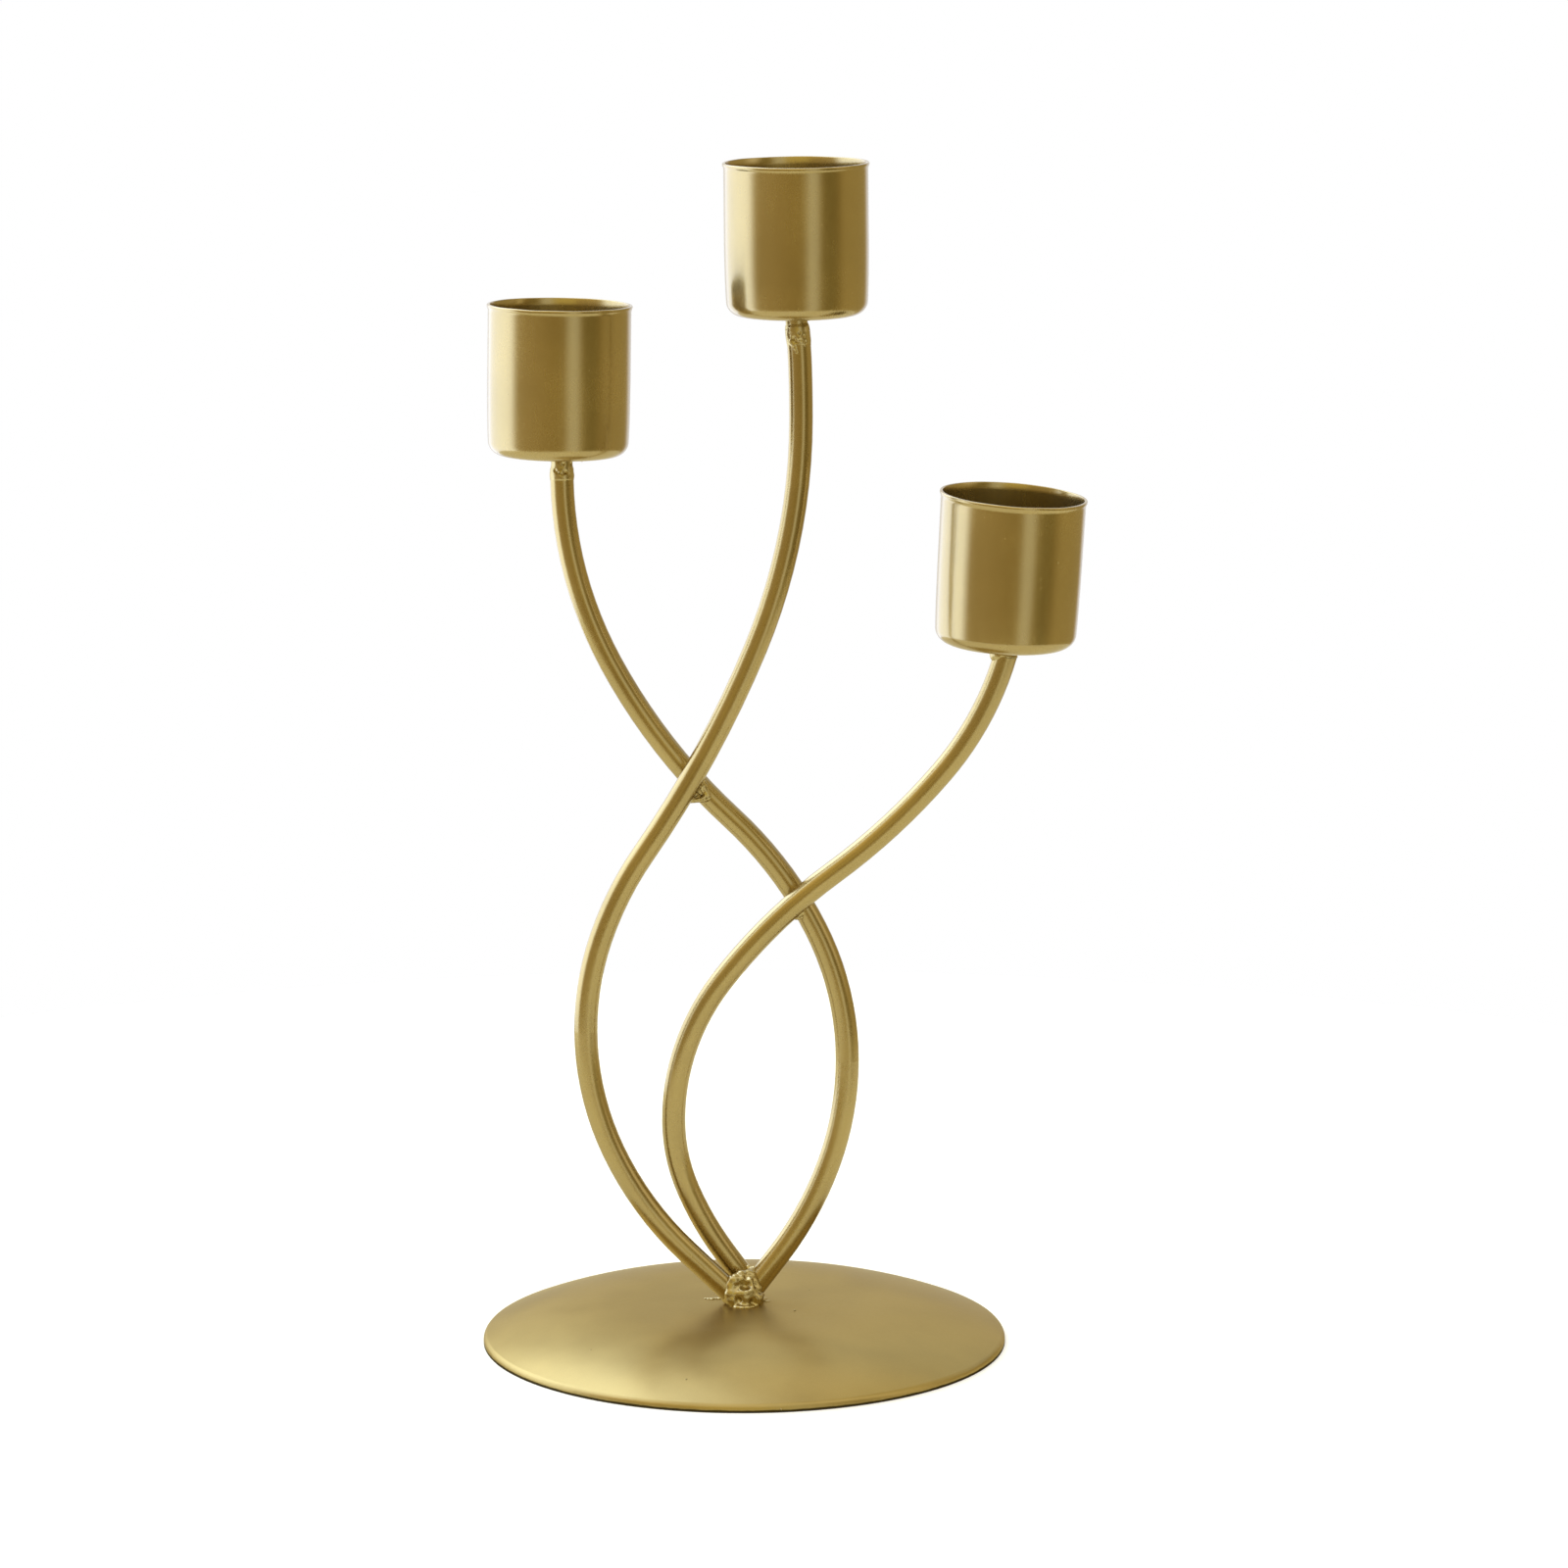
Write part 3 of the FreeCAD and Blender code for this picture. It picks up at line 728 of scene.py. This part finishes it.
# Runs of weld down the front of the centre wire, and a bead under the left cup
NECK_BEADS = {
    "left": ((-27.2, 2.2, 152.3, 0.35),),
    "centre": (
        (8.1, -2.15, 172.7, 0.5), (8.5, -2.3, 172.2, 0.5), (8.8, -2.3, 171.6, 0.5),
        (9.0, -2.3, 171.0, 0.48), (9.4, -2.3, 170.6, 0.45), (9.7, -2.25, 171.1, 0.45),
        (9.9, -2.2, 171.6, 0.45), (10.2, -2.1, 172.2, 0.5), (9.3, -2.15, 171.6, 0.45),
        (9.4, -2.05, 172.1, 0.5), (9.2, -2.0, 172.6, 0.55),
    ),
}
# How far below the top of a wire its end ring reaches
END_RING = 0.8 * MM
# How far a collar's skin may rise into a cup's floor
IN_FLOOR = 0.2 * MM


def wire_end(node):
    """The middle of a wire's upper end."""
    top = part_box(node)[1].z
    ring = [vert.co for vert in frame["nodes"][node].data.vertices if vert.co.z > top - END_RING]
    return sum(ring, Vector()) / len(ring)


def kept_under(bm, place, height):
    """Keeps a skin under a height in a cup's floor."""
    back = place.inverted()
    for vert in bm.verts:
        seen = back @ vert.co
        if seen.z > height:
            vert.co = place @ Vector((seen.x, seen.y, height))


class CANDELABRA_OT_cup_welds(bpy.types.Operator):
    """Flows the collars of weld that hold the cups over the ends of the wires"""

    bl_idname = "candelabra.cup_welds"
    bl_label = "Cup welds"

    def execute(self, context):
        welds = context.scene.candelabra_welds
        places = cup_places()
        for side, pits in NECK_PITS.items():
            node = side + "_cup_weld"
            bm = bmesh.new()
            core_of(bm, node)
            for rise in NECK_RISES[side]:
                ball(bm, wire_end(side + "_arm") + UP * rise * MM, COLLAR, subdivisions=4)
            add_beads(bm, in_frame, NECK_BEADS.get(side, ()))
            bm = fused(bm, welds.voxel)
            settled(bm, 8)
            add_hollows(bm, in_frame, pits)
            roughen(bm, lump=1.3 * MM, ripple=welds.ripple * 0.25, pits=0.0)
            kept_under(bm, places[side][2], IN_FLOOR)
            dress([finished(side + "_collar_weld", bm, "weld_gold", node)], weld_paint())
        return {"FINISHED"}


# Beads of the webs in the lower corners of the crossings: across, away and up in the frame, and
# radius, in millimetres.  A rim runs under each web, and the skin above it lies deeper.
WEB_BEADS = {
    "upper": (
        (-10.2, -0.2, 94.2, 0.6), (-9.6, 0.0, 94.35, 0.55), (-9.0, 0.1, 94.4, 0.5), (-8.4, 0.15, 94.4, 0.5),
        (-7.8, 0.25, 94.45, 0.5), (-7.2, 0.4, 94.5, 0.55), (-6.7, 0.8, 94.65, 0.75), (-6.2, 1.3, 94.9, 1.0),
        (-7.2, 1.6, 97.0, 1.05), (-6.9, 1.5, 96.5, 1.05), (-6.7, 1.5, 96.0, 1.0), (-6.4, 1.45, 95.4, 1.0),
        (-7.9, 0.5, 97.0, 0.8), (-8.3, 0.3, 96.3, 0.75), (-8.8, 0.1, 95.6, 0.7), (-9.3, 0.0, 95.0, 0.65),
        (-7.6, 1.9, 96.4, 0.7), (-7.6, 1.9, 95.8, 0.7), (-7.2, 1.9, 95.3, 0.7), (-8.0, 1.7, 95.2, 0.7),
        (-7.4, 1.7, 94.9, 0.6), (-8.5, 1.4, 94.9, 0.6), (-6.8, 2.0, 95.0, 0.8), (-8.3, 1.6, 95.8, 0.7),
    ),
    "lower": (
        (8.3, -0.1, 74.4, 0.5), (8.8, 0.0, 74.15, 0.45), (9.3, 0.15, 74.1, 0.45), (9.8, 0.4, 74.2, 0.5),
        (8.7, 0.1, 74.9, 0.6), (9.3, 0.3, 74.9, 0.65), (9.0, 0.2, 75.5, 0.7), (9.7, 0.5, 75.3, 0.7),
        (9.4, 0.3, 76.1, 0.7), (10.0, 0.7, 74.8, 0.65),
    ),
}


class CANDELABRA_OT_crossing_welds(bpy.types.Operator):
    """Builds the webs of weld in the lower corners of the two crossings"""

    bl_idname = "candelabra.crossing_welds"
    bl_label = "Crossing welds"

    def execute(self, context):
        welds = context.scene.candelabra_welds
        for place, beads in WEB_BEADS.items():
            bm = bmesh.new()
            add_beads(bm, in_frame, beads)
            bm = fused(bm, welds.voxel * 0.8)
            settled(bm, 20)
            roughen(bm, lump=1.3 * MM, ripple=welds.ripple * 0.15, pits=0.0)
            piece = finished(place + "_web_weld", bm, "weld_gold", place + "_crossing_weld")
            dress([piece], weld_paint())
        return {"FINISHED"}


# Studio


# Light of the room on the right of the camera, and of the two dark cards there
ROOM_RIGHT = (0.41, 0.3, 0.11, 1.0)
DARK_CARD = (0.27, 0.21, 0.065)
# Matt tone of the table, and what it adds to be white in the camera, with its strength
TABLE_TONE = (0.74, 0.7, 0.5, 1.0)
TABLE_GLOW = (0.75, 0.8, 1.0, 1.0)
GLOW_STRENGTH = 0.5
# How much of that the metal mirrors
MIRRORED_GLOW = 0.15
# How far the table lies under the base, so that the two faces aren't in one plane
TABLE_GAP = 0.03 * MM


def studio_light(context):
    """The room as the metal sees it, by bearing from the camera's side and by height."""
    studio = context.scene.candelabra_studio
    world = bpy.data.worlds.new("Studio")
    world.use_nodes = True
    context.scene.world = world
    s = Shading(world.node_tree)
    way = s.add("ShaderNodeTexCoord").outputs["Generated"]
    across, away, up = s.add("ShaderNodeSeparateXYZ", {"Vector": way}).outputs
    toward = s.times(away, -1.0)
    bearing = s.math("ARCTAN2", across, toward)
    rise = s.math("ARCSINE", up)

    def band(value, low, high, soft):
        """One from low to high, and nothing beyond them, with soft ends."""
        rising = s.smooth(value, low - soft, low + soft)
        return s.times(rising, s.smooth(value, high - soft, high + soft, 1.0, 0.0))

    def card(left, right, bottom, top, soft):
        """How much of one direction a card covers.  Edges in degrees, 0 at the camera's side."""
        left, right, bottom, top, soft = map(math.radians, (left, right, bottom, top, soft))
        return s.times(band(bearing, left, right, soft), band(rise, bottom, top, soft))

    def lamp(turn, height, radius, soft):
        """How much of one direction a round soft lamp covers, at a bearing and height in degrees."""
        turn, height = math.radians(turn), math.radians(height)
        spot = (math.cos(height) * math.sin(turn), -math.cos(height) * math.cos(turn), math.sin(height))
        near = s.add("ShaderNodeVectorMath", {0: way, 1: spot}, operation="DOT_PRODUCT").outputs["Value"]
        return s.smooth(near, math.cos(math.radians(radius + soft)), math.cos(math.radians(radius - soft)))

    before = s.smooth(toward, -0.2, 0.3)
    beside = s.times(s.smooth(bearing, 0.9, 1.3), s.smooth(up, 0.0, 0.25))
    high = s.smooth(up, 0.2, 0.45)
    light = s.mix(s.smooth(bearing, -0.9, 0.1), (*studio.room, 1.0), ROOM_RIGHT)
    for share, colour in (
        # The room behind, and at the far right
        (s.smooth(away, -0.1, 0.4), (0.55, 0.45, 0.3)),
        (s.smooth(bearing, 1.2, 1.5), (0.56, 0.45, 0.2)),
        # The warm upper room over the camera, its wall, and the paler side beside it on the right
        (s.times(before, s.smooth(up, 0.25, 0.5)), (0.95, 0.74, 0.26)),
        (card(-24, 30, 4, 60, 6), (0.88, 0.74, 0.27)),
        (s.times(before, beside), (1.2, 1.1, 0.84)),
        # The cool upper room behind, the ground there, and the ceiling with a dimmer patch
        (s.times(s.smooth(away, 0.25, 0.6), high), (0.72, 0.81, 1.04)),
        (s.smooth(away, 0.75, 0.95), (1.3, 1.3, 1.4)),
        (s.smooth(up, 0.65, 0.73), (1.24, 1.17, 0.95)),
        (lamp(124, 56, 20, 9), (0.75, 0.64, 0.33)),
        # Dark and pale cards right of the camera
        (card(43, 70, -70, 4, 9), DARK_CARD),
        (card(43, 60, -10, 50, 9), DARK_CARD),
        (card(16, 36, -70, 60, 7), (0.93, 0.93, 0.8)),
        # The tall window on the left, its upper corner, and its glare on faces that look away
        (card(-162, -76, -80, 62, 9), studio.window),
        (card(-110, -66, 42, 62, 9), studio.window),
        (s.times(lamp(-70, 24, 76, 3), s.times(s.smooth(away, 0.1, 0.4), high)), (3.0, 3.5, 4.6)),
    ):
        light = s.mix(share, light, (*colour, 1.0))
    room = s.add("ShaderNodeBackground", {"Color": light, "Strength": 1.0}).outputs[0]
    white = s.add("ShaderNodeBackground", {"Color": (1, 1, 1, 1), "Strength": 1.0}).outputs[0]

    # The camera sees a plain white ground, and so does the metal where that ground lies behind
    seen, mirrored = s.seen_and_mirrored()
    behind = s.times(mirrored, s.smooth(away, 0.84, 0.96))
    shown = s.mix_shaders(s.math("MAXIMUM", seen, behind), room, white)
    s.add("ShaderNodeOutputWorld", {"Surface": shown})


def white_table():
    """A matt pale table that the camera sees as the white ground, with the shadow on it."""
    material = bpy.data.materials.new("white_table")
    material.use_nodes = True
    s = Shading(material.node_tree)
    matt = s.add("ShaderNodeBsdfDiffuse", {"Color": TABLE_TONE, "Roughness": 0.0}).outputs[0]
    glow = s.add("ShaderNodeEmission", {"Color": TABLE_GLOW, "Strength": GLOW_STRENGTH}).outputs[0]
    both = s.add("ShaderNodeAddShader", {0: matt, 1: glow}).outputs[0]
    # The metal mirrors it duller than the camera sees it
    seen, mirrored = s.seen_and_mirrored()
    glowing = s.math("MAXIMUM", seen, s.times(mirrored, MIRRORED_GLOW))
    s.add("ShaderNodeOutputMaterial", {"Surface": s.mix_shaders(glowing, matt, both)})
    return material


class CANDELABRA_OT_studio(bpy.types.Operator):
    """Sets the white table, the light and the camera"""

    bl_idname = "candelabra.studio"
    bl_label = "Studio"

    def execute(self, context):
        studio = context.scene.candelabra_studio
        bm = bmesh.new()
        below = Matrix.Translation((0, 0, -TABLE_GAP))
        bmesh.ops.create_circle(bm, cap_ends=True, segments=96, radius=studio.floor_radius, matrix=below)
        mesh = bpy.data.meshes.new("table_top")
        bm.to_mesh(mesh)
        bm.free()
        table = bpy.data.objects.new("table_top", mesh)
        context.scene.collection.objects.link(table)
        table.data.materials.append(white_table())
        studio_light(context)

        lens = bpy.data.cameras.new("Portrait")
        lens.sensor_width = 36
        lens.lens = studio.lens
        lens.clip_start = 0.01
        lens.clip_end = 50
        camera = bpy.data.objects.new("Portrait", lens)
        camera.location = studio.eye
        camera.rotation_euler = (math.pi / 2 - studio.look_down, 0, 0)
        context.scene.collection.objects.link(camera)
        context.scene.camera = camera
        context.scene.view_settings.view_transform = "Standard"
        return {"FINISHED"}


# Panel


STEPS = (
    CANDELABRA_OT_base,
    CANDELABRA_OT_wires,
    CANDELABRA_OT_cups,
    CANDELABRA_OT_foot_weld,
    CANDELABRA_OT_cup_welds,
    CANDELABRA_OT_crossing_welds,
    CANDELABRA_OT_studio,
)
GROUPS = {
    "candelabra_gold": GoldSettings,
    "candelabra_cups": CupSettings,
    "candelabra_welds": WeldSettings,
    "candelabra_studio": StudioSettings,
}


class CANDELABRA_PT_panel(bpy.types.Panel):
    """Lists the pieces and their sizes"""

    bl_idname = "CANDELABRA_PT_panel"
    bl_label = "Candelabra"
    bl_space_type = "VIEW_3D"
    bl_region_type = "UI"
    bl_category = "Candelabra"

    def draw(self, context):
        layout = self.layout
        for step in STEPS:
            layout.operator(step.bl_idname)
        for group in GROUPS:
            settings = getattr(context.scene, group)
            for name in settings.__annotations__:
                layout.prop(settings, name)


def register():
    """Makes the settings, steps and panel known to Blender."""
    for group in GROUPS.values():
        bpy.utils.register_class(group)
    for step in STEPS:
        bpy.utils.register_class(step)
    bpy.utils.register_class(CANDELABRA_PT_panel)
    for name, group in GROUPS.items():
        setattr(bpy.types.Scene, name, PointerProperty(type=group))


def unregister():
    """Takes them all away again."""
    for name in GROUPS:
        delattr(bpy.types.Scene, name)
    bpy.utils.unregister_class(CANDELABRA_PT_panel)
    for step in reversed(STEPS):
        bpy.utils.unregister_class(step)
    for group in reversed(list(GROUPS.values())):
        bpy.utils.unregister_class(group)


def main():
    """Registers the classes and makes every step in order."""
    register()
    bpy.ops.candelabra.base()
    bpy.ops.candelabra.wires()
    bpy.ops.candelabra.cups()
    bpy.ops.candelabra.foot_weld()
    bpy.ops.candelabra.cup_welds()
    bpy.ops.candelabra.crossing_welds()
    bpy.ops.candelabra.studio()


if __name__ == "__main__":
    main()
